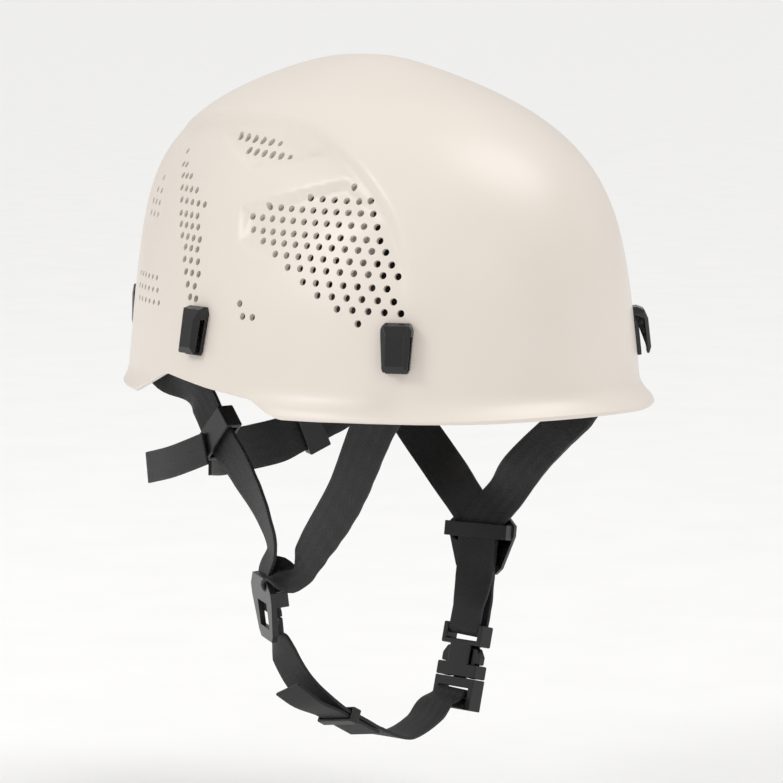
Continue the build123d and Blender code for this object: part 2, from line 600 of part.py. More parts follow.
pieces["yoke_strap_front_right"] = ribbon(
    YOKE_FRONT_RIGHT + through_divider(right_plane, 3, -LAYER), WEB_WIDTH, WEB_THICK, 20)
pieces["yoke_strap_rear_right"] = ribbon(
    YOKE_REAR_RIGHT + through_divider(right_plane, -3, LAYER), WEB_WIDTH, WEB_THICK, 24)
pieces["yoke_strap_front_left"] = ribbon(
    YOKE_FRONT_LEFT + crossing_divider(left_plane, 1, LAYER) + into_socket(1), WEB_WIDTH, WEB_THICK, 30)
pieces["yoke_strap_rear_left"] = ribbon(
    YOKE_REAR_LEFT + crossing_divider(left_plane, -1, -LAYER) + into_socket(-1), WEB_WIDTH, WEB_THICK, 30)
pieces["strap_divider_right"] = strap_divider(right_plane, -1)
pieces["strap_divider_left"] = strap_divider(left_plane, 1)
pieces["chin_strap"] = chin_strap()
pieces["chin_strap_tail"] = chin_tail()
pieces["chin_keeper"] = chin_keeper()
pieces["nape_band"] = ribbon(NAPE_LINE, NAPE_WIDTH, WEB_THICK, 30)
pieces["nape_band_tail"] = ribbon(NAPE_TAIL_LINE, TAIL_WIDTH, WEB_THICK, 8)
pieces["nape_lock"] = nape_lock()
pieces["rear_adjuster_right"] = rear_adjuster()
pieces.update(buckle_pieces())
for name, piece in pieces.items():
    export_step(piece, "parts/" + name + ".step")
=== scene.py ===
# %% [markdown]
# A climbing helmet is a thin moulded shell with webbing under it. The mechanical pieces come from the
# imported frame. This lesson keeps those that are right, and builds the shell, the webbing and the pads anew.

# %% Load the frame
from math import asin, atan2, cos, exp, pi, radians, sin
import bmesh
import bpy
from mathutils import Matrix, Vector
from mathutils.bvhtree import BVHTree
from mathutils.interpolate import poly_3d_calc


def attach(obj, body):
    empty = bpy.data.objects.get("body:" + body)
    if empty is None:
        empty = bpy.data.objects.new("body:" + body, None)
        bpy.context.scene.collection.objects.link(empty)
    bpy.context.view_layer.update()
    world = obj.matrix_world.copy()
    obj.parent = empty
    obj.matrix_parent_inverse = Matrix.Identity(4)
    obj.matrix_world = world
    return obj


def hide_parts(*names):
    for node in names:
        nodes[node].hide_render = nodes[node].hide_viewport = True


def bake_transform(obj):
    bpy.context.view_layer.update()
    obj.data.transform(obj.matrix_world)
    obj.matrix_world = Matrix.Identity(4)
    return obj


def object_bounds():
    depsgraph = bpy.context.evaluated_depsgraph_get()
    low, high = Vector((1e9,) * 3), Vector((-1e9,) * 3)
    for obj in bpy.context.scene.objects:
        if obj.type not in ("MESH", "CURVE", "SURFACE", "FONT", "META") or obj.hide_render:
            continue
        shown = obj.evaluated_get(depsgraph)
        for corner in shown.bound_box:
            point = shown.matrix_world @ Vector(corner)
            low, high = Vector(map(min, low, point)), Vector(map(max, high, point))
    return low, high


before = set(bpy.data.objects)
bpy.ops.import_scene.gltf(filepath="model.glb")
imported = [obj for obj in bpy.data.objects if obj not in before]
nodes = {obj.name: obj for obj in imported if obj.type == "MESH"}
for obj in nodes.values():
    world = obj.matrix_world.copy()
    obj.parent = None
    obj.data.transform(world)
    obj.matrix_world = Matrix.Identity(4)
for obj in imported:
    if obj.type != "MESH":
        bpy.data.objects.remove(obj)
MM = 0.001
cad_box = [list(corner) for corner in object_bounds()]

# %% [markdown]
# The camera stands well back with a long lens, so that the near side of the shell isn't stretched.

# %% Camera
view_az, view_el, view_far = radians(-36.95), radians(6.32), 1.7457
away = Vector((sin(view_az) * cos(view_el), -cos(view_az) * cos(view_el), sin(view_el)))
camera = bpy.data.objects.new("camera", bpy.data.cameras.new("camera"))
camera.location = away * view_far
camera.rotation_euler = (-away).to_track_quat("-Z", "Y").to_euler()
camera.data.lens = 171.7
camera.data.sensor_width = 36
camera.data.shift_x, camera.data.shift_y = 0.0262, -0.0231
camera.data.clip_end = 200
bpy.context.scene.collection.objects.link(camera)
bpy.context.scene.camera = camera
print("camera at", [round(v, 3) for v in camera.location])

# %% [markdown]
# Soft light shows a satin moulding best. One wide light is the key, a second fills the far side, a third
# lights from overhead, and a pale world keeps the shadows open.

# %% Floor and lights
def soft_light(name, place, size, power):
    lamp = bpy.data.objects.new(name, bpy.data.lights.new(name, "AREA"))
    lamp.data.size, lamp.data.energy = size, power
    lamp.location = place
    lamp.rotation_euler = (Vector((0, 0, 0)) - Vector(place)).to_track_quat("-Z", "Y").to_euler()
    bpy.context.scene.collection.objects.link(lamp)


soft_light("key_light", (-2.3, 0.5, 1.5), 0.8, 20)
soft_light("front_light", (-0.9, -2.4, 0.8), 1.6, 5)
sun = bpy.data.objects.new("overhead_light", bpy.data.lights.new("overhead_light", "SUN"))
sun.data.energy, sun.data.angle = 1.15, radians(40)
sun.rotation_euler = Vector((-0.35, 0.25, -1)).to_track_quat("-Z", "Y").to_euler()
bpy.context.scene.collection.objects.link(sun)
world = bpy.data.worlds.new("pale_room")
world.use_nodes = True
world.node_tree.nodes["Background"].inputs["Color"].default_value = (1, 0.99, 0.98, 1)
world.node_tree.nodes["Background"].inputs["Strength"].default_value = 0.6
bpy.context.scene.world = world
bpy.context.scene.view_settings.view_transform = "Standard"
floor_mesh = bmesh.new()
bmesh.ops.create_grid(floor_mesh, x_segments=1, y_segments=1, size=80)
bmesh.ops.translate(floor_mesh, verts=floor_mesh.verts, vec=(0, 0, cad_box[0][2] - 0.05))
floor_data = bpy.data.meshes.new("floor")
floor_mesh.to_mesh(floor_data)
floor_mesh.free()
floor = bpy.data.objects.new("floor", floor_data)
bpy.context.scene.collection.objects.link(floor)

# %% [markdown]
# Moulded plastic is never quite flat. A shared grain group gives every plastic its fine texture and a slow
# change of tone, each with its own scale and strength.

# %% Node helpers and the grain group
def socket(group, name, way, kind, value=None):
    made = group.interface.new_socket(name=name, in_out=way, socket_type=kind)
    if value is not None:
        made.default_value = value


def wire(tree, kind, inputs=(), **settings):
    """A node with its settings and its inputs, each a value or another node's output."""
    node = tree.nodes.new(kind)
    for name, value in settings.items():
        setattr(node, name, value)
    for slot, value in inputs:
        if isinstance(value, bpy.types.NodeSocket):
            tree.links.new(value, node.inputs[slot])
        else:
            node.inputs[slot].default_value = value
    return node


def maths(tree, what, first, second=0.0):
    return wire(tree, "ShaderNodeMath", [(0, first), (1, second)], operation=what).outputs[0]


grain = bpy.data.node_groups.new("moulded_grain", "ShaderNodeTree")
socket(grain, "Grain scale", "INPUT", "NodeSocketFloat", 900.0)
socket(grain, "Cloud scale", "INPUT", "NodeSocketFloat", 14.0)
socket(grain, "Height", "OUTPUT", "NodeSocketFloat")
socket(grain, "Cloud", "OUTPUT", "NodeSocketFloat")
grain_in = grain.nodes.new("NodeGroupInput")
grain_out = grain.nodes.new("NodeGroupOutput")
place = grain.nodes.new("ShaderNodeTexCoord").outputs["Object"]
fine = wire(grain, "ShaderNodeTexNoise", [("Vector", place), ("Scale", grain_in.outputs[0]), ("Detail", 3.0)])
cloud = wire(grain, "ShaderNodeTexNoise",
             [("Vector", place), ("Scale", grain_in.outputs[1]), ("Detail", 2.0)])
grain.links.new(fine.outputs[0], grain_out.inputs["Height"])
grain.links.new(cloud.outputs[0], grain_out.inputs["Cloud"])
print("group:", grain.name)


# %% Plastic materials
def moulded(name, dark, light, rough, grain_scale, relief, coat=0.0, spread=0.06):
    """A moulded plastic whose tone drifts between two near colours."""
    mat = bpy.data.materials.new(name)
    mat.use_nodes = True
    tree = mat.node_tree
    shader = tree.nodes["Principled BSDF"]
    texture = tree.nodes.new("ShaderNodeGroup")
    texture.node_tree = grain
    texture.inputs["Grain scale"].default_value = grain_scale
    ramp = tree.nodes.new("ShaderNodeValToRGB")
    ramp.color_ramp.elements[0].position, ramp.color_ramp.elements[1].position = 0.3, 0.7
    ramp.color_ramp.elements[0].color = (*dark, 1)
    ramp.color_ramp.elements[1].color = (*light, 1)
    tree.links.new(texture.outputs["Cloud"], ramp.inputs[0])
    tree.links.new(ramp.outputs[0], shader.inputs["Base Color"])
    roughness = wire(tree, "ShaderNodeMapRange", [("Value", texture.outputs["Height"]), ("From Min", 0.3),
                     ("From Max", 0.7), ("To Min", rough - spread), ("To Max", rough + spread)])
    tree.links.new(roughness.outputs[0], shader.inputs["Roughness"])
    bump = wire(tree, "ShaderNodeBump", [("Strength", relief), ("Distance", 0.0002),
                ("Height", texture.outputs["Height"])])
    tree.links.new(bump.outputs[0], shader.inputs["Normal"])
    shader.inputs["Coat Weight"].default_value = coat
    shader.inputs["Coat Roughness"].default_value = 0.25
    return mat


shell_plastic = moulded("shell_plastic", (0.755, 0.69, 0.62), (0.785, 0.72, 0.65), 0.4, 1500, 0.05, 0.12)
clip_plastic = moulded("clip_plastic", (0.006, 0.006, 0.0065), (0.011, 0.011, 0.0115), 0.26, 1200, 0.06)
harness_plastic = moulded("harness_plastic", (0.007, 0.007, 0.007), (0.012, 0.012, 0.0125), 0.34, 1400, 0.12)
band_plastic = moulded("band_plastic", (0.025, 0.025, 0.026), (0.035, 0.035, 0.036), 0.5, 900, 0.35)
floor_paint = moulded("floor_paint", (0.93, 0.93, 0.93), (0.95, 0.95, 0.95), 0.9, 60, 0.0)
floor.data.materials.append(floor_paint)
print("plastics:", shell_plastic.name, clip_plastic.name, harness_plastic.name, band_plastic.name)

# %% [markdown]
# Polyester webbing shows slanted ribs that meet in chevrons, and a smooth raised edge. The pattern follows
# the strap's own map, whose numbers are millimetres across and along, so it bends with the strap.

# %% Webbing material
weave = bpy.data.node_groups.new("chevron_weave", "ShaderNodeTree")
socket(weave, "Half width", "INPUT", "NodeSocketFloat", 10.0)
socket(weave, "Height", "OUTPUT", "NodeSocketFloat")
socket(weave, "Edge", "OUTPUT", "NodeSocketFloat")
weave_in = weave.nodes.new("NodeGroupInput")
weave_out = weave.nodes.new("NodeGroupOutput")
strap_map = wire(weave, "ShaderNodeSeparateXYZ", [(0, weave.nodes.new("ShaderNodeTexCoord").outputs["UV"])])
slant = maths(weave, "MULTIPLY", maths(weave, "PINGPONG", strap_map.outputs[0], 2.5), 1.3)
ribs = maths(weave, "SINE", maths(weave, "MULTIPLY", maths(weave, "ADD", strap_map.outputs[1], slant), 4.4))
yarns = maths(weave, "SINE", maths(weave, "MULTIPLY", strap_map.outputs[0], 7.5))
rim = maths(weave, "GREATER_THAN", maths(weave, "ABSOLUTE", strap_map.outputs[0]),
            maths(weave, "SUBTRACT", weave_in.outputs[0], 1.3))
body_height = maths(weave, "ADD", maths(weave, "MULTIPLY", ribs, 0.35), maths(weave, "MULTIPLY", yarns, 0.12))
rim_height_share = maths(weave, "MULTIPLY", rim, 0.5)
weave.links.new(maths(weave, "ADD", body_height, rim_height_share), weave_out.inputs["Height"])
weave.links.new(rim, weave_out.inputs["Edge"])


def woven(name, half_width):
    mat = bpy.data.materials.new(name)
    mat.use_nodes = True
    tree = mat.node_tree
    shader = tree.nodes["Principled BSDF"]
    pattern = tree.nodes.new("ShaderNodeGroup")
    pattern.node_tree = weave
    pattern.inputs[0].default_value = half_width
    yarn_dark, yarn_light = (0.005, 0.005, 0.0055, 1), (0.0145, 0.0145, 0.015, 1)
    tone = wire(tree, "ShaderNodeMix", [("Factor", pattern.outputs["Height"]), ("A", yarn_dark),
                ("B", yarn_light)], data_type="RGBA")
    tree.links.new(tone.outputs["Result"], shader.inputs["Base Color"])
    bump = wire(tree, "ShaderNodeBump", [("Strength", 0.6), ("Distance", 0.0003),
                ("Height", pattern.outputs["Height"])])
    tree.links.new(bump.outputs[0], shader.inputs["Normal"])
    shader.inputs["Roughness"].default_value = 0.62
    shader.inputs["Sheen Weight"].default_value = 0.08
    shader.inputs["Sheen Roughness"].default_value = 0.4
    return mat


webbing = woven("webbing", 10.0)
nape_webbing = woven("nape_webbing", 11.0)
tail_webbing = woven("tail_webbing", 7.5)
print("webbing materials made")

# %% [markdown]
# The shell's wall follows one law: an oval whose size changes with height. Every hole, pocket and strap foot
# is placed by that same law, so nothing has to be fitted afterwards.

# %% Shell law
SHELL_HEIGHT, SHELL_WALL = 148.8, 2.5
SHELL_SIZE = {"side": 106.0, "front": 147.7, "rear": 128.0}
WALL_SHAPE = {"side": (-0.222, 5.91, 1.2), "front": (-0.059, 4.54, 1.257), "rear": (0.038, 5.22, 1.644)}
BRIM_FLARE = {"side": 3.0, "front": 9.0, "rear": 2.0}


def reach(way, height):
    lean, shoulder, crown = WALL_SHAPE[way]
    share = height / SHELL_HEIGHT
    wall = SHELL_SIZE[way] * (1 + lean * share) * max(1 - abs(share) ** shoulder, 0) ** (1 / crown)
    return wall + BRIM_FLARE[way] * min(max((5 - height) / 10, 0), 1) ** 2


def wall_point(turn, height):
    """A point on the wall, by its angle round from the wearer's left, in radians."""
    way = "front" if sin(turn) < 0 else "rear"
    return Vector((reach("side", height) * cos(turn), reach(way, height) * sin(turn), height))


def wall_normal(turn, height):
    along = wall_point(turn + 0.005, height) - wall_point(turn - 0.005, height)
    return along.cross(wall_point(turn, height + 0.4) - wall_point(turn, height - 0.4)).normalized()


def rim_height(y):
    """The lower edge seen from the side: a low brim, a step up over the ear and a nape."""
    line = [(-160, -3.5), (-131, -5.5), (-101, -7), (-80, -7.7), (-62, -8), (-45, -0.3), (-17, 2), (17, 5.8),
            (45, -4.5), (140, -4.5)]
    for (y0, z0), (y1, z1) in zip(line, line[1:]):
        if y <= y1:
            return z0 + (z1 - z0) * (max(y, y0) - y0) / (y1 - y0)
    return line[-1][1]


print("shell law: side", round(reach("side", 20), 1), "front", round(reach("front", 20), 1))

# %% [markdown]
# The side panels are sunk under the hood's edge, with two deeper pockets for the vents. Each is an outline
# on the wall, in lengths along it from the middle of the side and heights. The depth grows with the
# distance inside the outline, which gives the soft steps of a vacuum-formed shell.

# %% Relief of the side panels
def rounded(points, steps):
    """A smooth line through a few points."""
    ends = [points[0]] + points + [points[-1]]
    line = []
    for a, b, c, d in zip(ends, ends[1:], ends[2:], ends[3:]):
        for i in range(steps):
            t = i / steps
            line.append(tuple(0.5 * (2 * q + (r - p) * t + (2 * p - 5 * q + 4 * r - s) * t * t
                        + (3 * q - p - 3 * r + s) * t ** 3) for p, q, r, s in zip(a, b, c, d)))
    return line + [points[-1]]


def inside(outline, x, z):
    """Distance in from an outline, or minus the distance outside it."""
    near, odd = 1e9, False
    for (x0, z0), (x1, z1) in zip(outline, outline[1:] + outline[:1]):
        dx, dz = x1 - x0, z1 - z0
        t = min(max(((x - x0) * dx + (z - z0) * dz) / (dx * dx + dz * dz + 1e-12), 0), 1)
        near = min(near, ((x - x0 - dx * t) ** 2 + (z - z0 - dz * t) ** 2) ** 0.5)
        if (z0 > z) != (z1 > z) and x < x0 + dx * (z - z0) / dz:
            odd = not odd
    return near if odd else -near


def step(value, low, high):
    t = min(max((value - low) / (high - low), 0), 1)
    return t * t * (3 - 2 * t)


hood_edge = rounded([(-110, 112), (-49, 121), (22, 121.6), (67, 109), (98, 88), (113, 67), (119, 46),
                     (120, 28)], 5)
panel = hood_edge + [(-110, 20)]
top_pocket = [(-31, 118.5), (22, 118.5), (62, 110), (40, 105), (15, 101)]
main_pocket = [(20, 83), (74, 98), (97, 84), (112, 62), (116, 40), (100, 33), (22.5, 68)]


def relief(x, z):
    """How deep the wall is sunk at a place on a side panel."""
    if not -112 < x < 122:
        return 0.0
    fade = step(z, 34, 78) * step(x, -108, -60)
    depth = 3.4 * step(inside(panel, x, z), -0.8, 3) * fade
    if z > 99:
        depth += 2.2 * step(inside(top_pocket, x, z), 0, 3)
    if 30 < z < 100:
        upper = 83 + (x - 20) * 15 / 54
        depth += 2.6 * step(inside(main_pocket, x, z), 0, 2.5) * (1 - step(upper - z, 4, 30))
    return depth


print("panel outline:", len(panel), "points")

# %% [markdown]
# The dome starts as the upper half of a sphere, whose rings are then moved onto the law. A sphere brings
# even quads and a closed top. The law is a little pointed at the crown, so its drop is eased there.

# %% Dome
def eased(height):
    drop = SHELL_HEIGHT - height
    return SHELL_HEIGHT - drop * (1 - exp(-drop / 3))


def profile_heights(rings):
    """Heights that cut the wall's outline into equal lengths from the rim to the crown."""
    samples = [SHELL_HEIGHT * (1 - (1 - i / 2000) ** 2.2) for i in range(2001)]
    lengths = [0.0]
    for low, high in zip(samples, samples[1:]):
        inward = reach("side", high) - reach("side", low)
        lengths.append(lengths[-1] + ((high - low) ** 2 + inward ** 2) ** 0.5)
    heights, k = [], 0
    for i in range(rings + 1):
        while k < 1999 and lengths[k + 1] < lengths[-1] * i / rings:
            k += 1
        heights.append(samples[k])
    heights[-1] = SHELL_HEIGHT
    return heights


def side_lengths(height):
    """Lengths along the wall at a height, from the middle of the side, by angle in degrees."""
    table = {180: 0.0}
    for way in (1, -1):
        last, total = wall_point(pi, height), 0.0
        for degree in range(1, 91):
            here = wall_point(pi + way * radians(degree), height)
            total += (here - last).length
            last = here
            table[180 + way * degree] = way * total
    return table


def length_at(table, degree):
    low = min(max(int(degree), 90), 269)
    return table[low] + (table[low + 1] - table[low]) * (degree - low)


RINGS, TURNS = ((92, 344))
RIM_REACH = 60
heights = profile_heights(RINGS)
tables = [side_lengths(h) for h in heights]
dome = bmesh.new()
bmesh.ops.create_uvsphere(dome, u_segments=TURNS, v_segments=2 * RINGS, radius=1)
bmesh.ops.delete(dome, geom=[v for v in dome.verts if v.co.z < -1e-4], context="VERTS")
for v in dome.verts:
    ring = round(asin(min(max(v.co.z, -1), 1)) / (pi / 2) * RINGS)
    turn = atan2(v.co.y, v.co.x) % (2 * pi)
    height = heights[ring]
    low = rim_height(wall_point(turn, 0).y)
    shown = height + low * (1 - height / RIM_REACH) ** 2 if height < RIM_REACH else height
    degree = turn * 180 / pi
    mirrored = degree if 90 <= degree <= 270 else (180 - degree) % 360
    sunk = relief(length_at(tables[ring], mirrored), shown) if 0 < ring < RINGS else 0.0
    spot = wall_point(turn, min(shown, SHELL_HEIGHT))
    normal = wall_normal(turn, shown) if shown < SHELL_HEIGHT - 3 else Vector((0, 0, 1))
    v.co = (Vector((spot.x, spot.y, eased(spot.z))) - normal * sunk) * MM
bmesh.ops.recalc_face_normals(dome, faces=dome.faces)
for face in dome.faces:
    face.smooth = True
dome.normal_update()
smooth_shell = BVHTree.FromBMesh(dome)
dome.faces.ensure_lookup_table()
smooth_faces = [([v.co.copy() for v in f.verts], [v.normal.copy() for v in f.verts]) for f in dome.faces]
print("dome:", len(dome.verts), "verts", len(dome.faces), "faces")

# %% [markdown]
# The vents are drilled straight through the wall. A few rules place them: each row is a count, the lengths
# of its first and last hole, and their heights. All the drills are one mesh, so one cut makes every vent.

# %% Vents
# count, first and last length along the wall, first and last height; the radius is given for each group below
main_rows = [(1, 79, 79, 95, 95), (6, 57, 90, 90, 89), (10, 35, 93, 85, 83.5), (12, 25, 97, 80, 77.5),
             (12, 28, 100, 74, 71.5), (11, 37, 104, 69, 66.5), (10, 47, 108, 63.5, 61), (9, 56, 112, 58, 56),
             (7, 66, 108, 52, 50.5), (6, 75, 112, 46.5, 45), (5, 86, 116, 41, 40), (1, 97, 97, 35, 35)]
rear_rows = [(1, -52, -52, 106, 106), (2, -48, -43, 100, 100), (3, -42, -32, 95, 95), (4, -38, -21, 89.5, 89),
             (5, -34, -10, 84, 83), (4, -31, -14, 78, 77.5), (4, -28, -11, 73, 72.5), (4, -24, -7, 68, 67),
             (3, -18, -7, 63, 62.5), (3, -16, -4, 57.5, 57), (3, -12, -1, 52, 51.5), (2, -8, -2, 46.5, 46),
             (2, -4, 1, 41, 40.5)]
top_rows = [(6, -10, 22, 116, 114), (6, 4, 34, 110, 108)]
lone_rows = [(1, 32, 32, 40.5, 40.5), (2, 35, 41, 35, 35)]
nape_rows = [(6, -41, -71, 47, 47), (6, -37, -68, 41.5, 41.5), (6, -33, -64, 36, 36)]
back_rows = [(1, -72, -72, 92, 92), (2, -76, -68, 86, 86), (3, -79, -66, 80.5, 80.5), (3, -78, -64, 75, 75)]
drills = bmesh.new()


def drill(x, z, radius, tall):
    """A drill on each side of the shell at a length along the wall and a height."""
    table = side_lengths(z)
    whole = max(d for d in range(90, 270) if table[d] <= x)
    degree = whole + (x - table[whole]) / (table[whole + 1] - table[whole])
    for turn in (radians(degree), radians(180 - degree)):
        out = wall_normal(turn, z)
        up = (Vector((0, 0, 1)) - out * out.z).normalized()
        axes = Matrix((up.cross(out), up * tall, out)).transposed().to_4x4()
        middle = (wall_point(turn, z) - out * (relief(x, z) + SHELL_WALL / 2)) * MM
        bmesh.ops.create_cone(drills, cap_ends=True, segments=14, radius1=radius * MM, radius2=radius * MM,
                              depth=8 * MM, matrix=Matrix.Translation(middle) @ axes)


for rows, radius, tall in ((main_rows, 1.65, 1.0), (rear_rows, 1.65, 1.0), (top_rows, 1.75, 1.25),
                           (lone_rows, 1.65, 1.0), (nape_rows, 1.3, 1.0), (back_rows, 1.5, 1.0)):
    for count, x0, x1, z0, z1 in rows:
        for i in range(count):
            share = i / (count - 1) if count > 1 else 0
            # The outermost holes of the top rows are smaller, where the pocket runs out.
            size = radius * (0.75 if rows is top_rows and i == count - 1 else 1)
            drill(x0 + (x1 - x0) * share, z0 + (z1 - z0) * share, size, tall)
print("drills:", len(drills.verts) // 28)


# %% Cut the shell
def add_piece(name, bm, *materials):
    mesh = bpy.data.meshes.new(name)
    bm.to_mesh(mesh)
    bm.free()
    piece = bpy.data.objects.new(name, mesh)
    bpy.context.scene.collection.objects.link(piece)
    for mat in materials:
        mesh.materials.append(mat)
    return piece


def finish_modifiers(piece):
    """Replaces a piece's mesh by what its modifiers make of it."""
    view = bpy.context.evaluated_depsgraph_get()
    view.update()
    mesh = bpy.data.meshes.new_from_object(piece.evaluated_get(view), depsgraph=view)
    piece.modifiers.clear()
    piece.data = mesh
    return mesh


outer_shell = add_piece("outer_shell", dome, shell_plastic)
wall = outer_shell.modifiers.new("wall", "SOLIDIFY")
wall.thickness, wall.offset, wall.use_even_offset = SHELL_WALL * MM, -1, True
lip = outer_shell.modifiers.new("lip", "BEVEL")
lip.width, lip.segments, lip.limit_method, lip.angle_limit = 1.0 * MM, 3, "ANGLE", radians(55)
cutter = add_piece("vent_drills", drills)
cut = outer_shell.modifiers.new("vents", "BOOLEAN")
cut.operation, cut.object, cut.solver = "DIFFERENCE", cutter, "MANIFOLD"
shell_mesh = finish_modifiers(outer_shell)
bpy.data.objects.remove(cutter)
print("shell after the cut:", len(shell_mesh.vertices), "verts", len(shell_mesh.polygons), "faces")

# %% [markdown]
# Cutting leaves uneven faces round each vent, and their shading would ripple. The uncut dome's normals are
# copied onto the wall, so it shades as one smooth moulding and the vents keep crisp edges.

# %% Smooth shading round the vents
def dome_normal(spot):
    found = smooth_shell.find_nearest(spot)
    corners, normals = smooth_faces[found[2]]
    weights = poly_3d_calc(corners, found[0])
    return sum((n * w for n, w in zip(normals, weights)), Vector()).normalized()


NEARLY_ALONG = 0.88
vertex_normals = [dome_normal(v.co) for v in shell_mesh.vertices]
custom = [Vector()] * len(shell_mesh.loops)
for face in shell_mesh.polygons:
    face.use_smooth = True
    for i in face.loop_indices:
        smooth = vertex_normals[shell_mesh.loops[i].vertex_index]
        lean = face.normal.dot(smooth)
        custom[i] = (smooth if lean > 0 else -smooth) if abs(lean) > NEARLY_ALONG else face.normal
shell_mesh.normals_split_custom_set(custom)
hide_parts("shell")
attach(outer_shell, "helmet")
print("shell shaded:", len(custom), "corners")

# %% [markdown]
# A strap is a flat band swept along a line of stations, each a point and the way across the strap there. It
# starts as a grid, so it has a map, and each row of the grid is carried to its place on a smooth line.
# Solidify gives the thickness and Bevel rounds the edges. The stations are the mechanical model's own.

# %% Strap maker
def along(stations, steps):
    """Places and ways across on a smooth line through the stations."""
    points = [Vector(p) for p, across in stations]
    ends = [points[0] * 2 - points[1]] + points + [points[-1] * 2 - points[-2]]
    line = []
    for k in range(len(points) - 1):
        a, b, c, d = ends[k:k + 4]
        t1 = (b - a).length ** 0.5
        t2 = t1 + (c - b).length ** 0.5
        t3 = t2 + (d - c).length ** 0.5
        for i in range(steps + (k == len(points) - 2)):
            t = t1 + (t2 - t1) * i / steps
            ab, bc, cd = a.lerp(b, t / t1), b.lerp(c, (t - t1) / (t2 - t1)), c.lerp(d, (t - t2) / (t3 - t2))
            spot = ab.lerp(bc, t / t2).lerp(bc.lerp(cd, (t - t1) / (t3 - t1)), (t - t1) / (t2 - t1))
            line.append((spot, Vector(stations[k][1]).lerp(Vector(stations[k + 1][1]), i / steps)))
    return line


def strap(name, stations, width, thick, mat, node, body="helmet", ripple=0.0):
    line = along(stations, 12)
    rows, columns = len(line) - 1, 8
    bm = bmesh.new()
    bmesh.ops.create_grid(bm, x_segments=columns, y_segments=rows, size=0.5, calc_uvs=True)
    bm.faces.ensure_lookup_table()
    lengths = [0.0]
    for (p, across), (q, across2) in zip(line, line[1:]):
        lengths.append(lengths[-1] + (q - p).length)
    layer = bm.loops.layers.uv.verify()
    for face in bm.faces:
        face.smooth = True
        for loop in face.loops:
            loop[layer].uv = (loop.vert.co.x * width, lengths[round((loop.vert.co.y + 0.5) * rows)])
    for v in bm.verts:
        row, side = round((v.co.y + 0.5) * rows), v.co.x
        spot, across = line[row]
        ahead = (line[min(row + 1, rows)][0] - line[max(row - 1, 0)][0]).normalized()
        across = (across - ahead * across.dot(ahead)).normalized()
        lift = ripple * sin(lengths[row] * 0.55) * (0.4 + side) * step(min(row, rows - row), 1, 9)
        v.co = (spot + across * side * width + across.cross(ahead) * lift) * MM
    piece = add_piece(name, bm, mat)
    depth = piece.modifiers.new("thickness", "SOLIDIFY")
    depth.thickness, depth.offset = thick * MM, 0
    edge = piece.modifiers.new("edge", "BEVEL")
    edge.width, edge.segments, edge.limit_method, edge.angle_limit = 0.45 * MM, 2, "ANGLE", radians(50)
    finish_modifiers(piece)
    if node:
        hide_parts(node)
    if body:
        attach(piece, body)
    print(name, "length", round(lengths[-1]), "mm")
    return piece


# %% [markdown]
# Six anchors sit inside the wall behind the lamp clips. Three cradle straps cross under the crown, and the
# four straps of the chin harness start from the front and rear anchors.

# %% Strap stations
CLIP_PLACES = {"front_right": (228.4, 24.0), "side_right": (182.3, 25.6), "rear_right": (120.0, 26.6),
               "front_left": (311.6, 24.0), "side_left": (357.7, 25.6), "rear_left": (60.0, 26.6)}
WEB_WIDTH, WEB_THICK, LAYER_GAP = 20.0, 1.5, 0.3
ANCHOR_THICK, ANCHOR_HEIGHT, SCREW_HEAD = 3.0, 26.0, 1.2


class Seat:
    """A place with three axes: along, up and out."""
    def __init__(self, spot, x_way, z_way):
        self.spot, self.x, self.z = Vector(spot), Vector(x_way).normalized(), Vector(z_way).normalized()
        self.y = self.z.cross(self.x)

    def at(self, x, y, z):
        return self.spot + self.x * x + self.y * y + self.z * z


def wall_seat(name):
    degree, height = CLIP_PLACES[name]
    turn = radians(degree)
    sideways = wall_point(turn + radians(0.5), height) - wall_point(turn - radians(0.5), height)
    upward = wall_point(turn, height + 0.5) - wall_point(turn, height - 0.5)
    return Seat(wall_point(turn, height), sideways, sideways.cross(upward))


def inside_point(name, height, layer=0.0):
    seat = wall_seat(name)
    depth = SHELL_WALL + ANCHOR_THICK + SCREW_HEAD + LAYER_GAP + WEB_THICK / 2 + layer
    return seat.at(0, (height - seat.spot.z) / seat.y.z, -depth)


def cradle_line(first, second, level):
    top, middle = SHELL_HEIGHT - 37 - level * (WEB_THICK + 0.8), Vector((0, -4, 0))
    feet = [inside_point(name, CLIP_PLACES[name][1] - 2, LAYER_GAP) for name in (first, second)]
    way = (feet[1] - feet[0]).cross(Vector((0, 0, 1))).normalized()
    ends = []
    for name, foot in zip((first, second), feet):
        flat = Vector((foot.x, foot.y, 0)) - middle
        sideways = wall_seat(name).x * (1 if wall_seat(name).x.dot(way) > 0 else -1)
        over = inside_point(name, CLIP_PLACES[name][1] + ANCHOR_HEIGHT / 2, 5.5)
        rows = [(foot, sideways), (over, sideways)]
        for share, height in ((0.9, 0.5), (0.79, 0.72), (0.58, 0.9)):
            rows.append((middle + flat * share + Vector((0, 0, top * height)), way))
        rows.append((middle + flat.normalized() * 24 + Vector((0, 0, top)), way))
        ends.append(rows)
    return ends[0] + [(middle + Vector((0, 0, top)), way)] + ends[1][::-1]


for level, (side, first, second) in enumerate((("front_right", "front_right", "rear_left"),
                                               ("front_left", "front_left", "rear_right"),
                                               ("side", "side_right", "side_left"))):
    strap("cradle_webbing_" + side, cradle_line(first, second, level), WEB_WIDTH, WEB_THICK, webbing,
          "cradle_strap_" + side)


# %% Chin harness stations
def yoke_start(name, towards):
    sideways = wall_seat(name).x * (1 if wall_seat(name).x.dot(Vector(towards)) > 0 else -1)
    return [(inside_point(name, CLIP_PLACES[name][1] - 9.5 - down), sideways) for down in (0, 5)]


